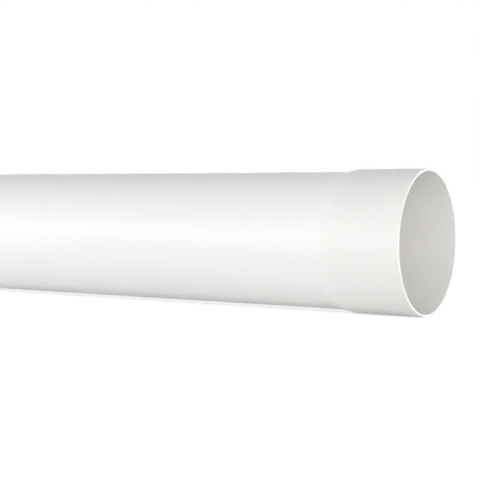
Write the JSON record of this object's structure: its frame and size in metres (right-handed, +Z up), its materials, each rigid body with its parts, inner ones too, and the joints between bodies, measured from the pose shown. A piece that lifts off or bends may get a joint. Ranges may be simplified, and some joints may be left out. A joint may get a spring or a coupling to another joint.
{
  "type": "pvc rainwater downpipe",
  "caption": "Straight round PVC rainwater pipe with a plain end and a formed socket that takes the plain end of the next length.",
  "frame": {"origin": "centre of the socket's mouth, on the pipe's axis", "axes": "+X along the pipe's axis and out of the socket's mouth, +Z up as the pipe lies on a floor, +Y across it"},
  "size_m": [2, 0.0832, 0.083],
  "materials": {
    "white_pvc": "satin"
  },
  "bodies": {
    "root": {"downpipe": "white_pvc"}
  },
  "joints": []
}
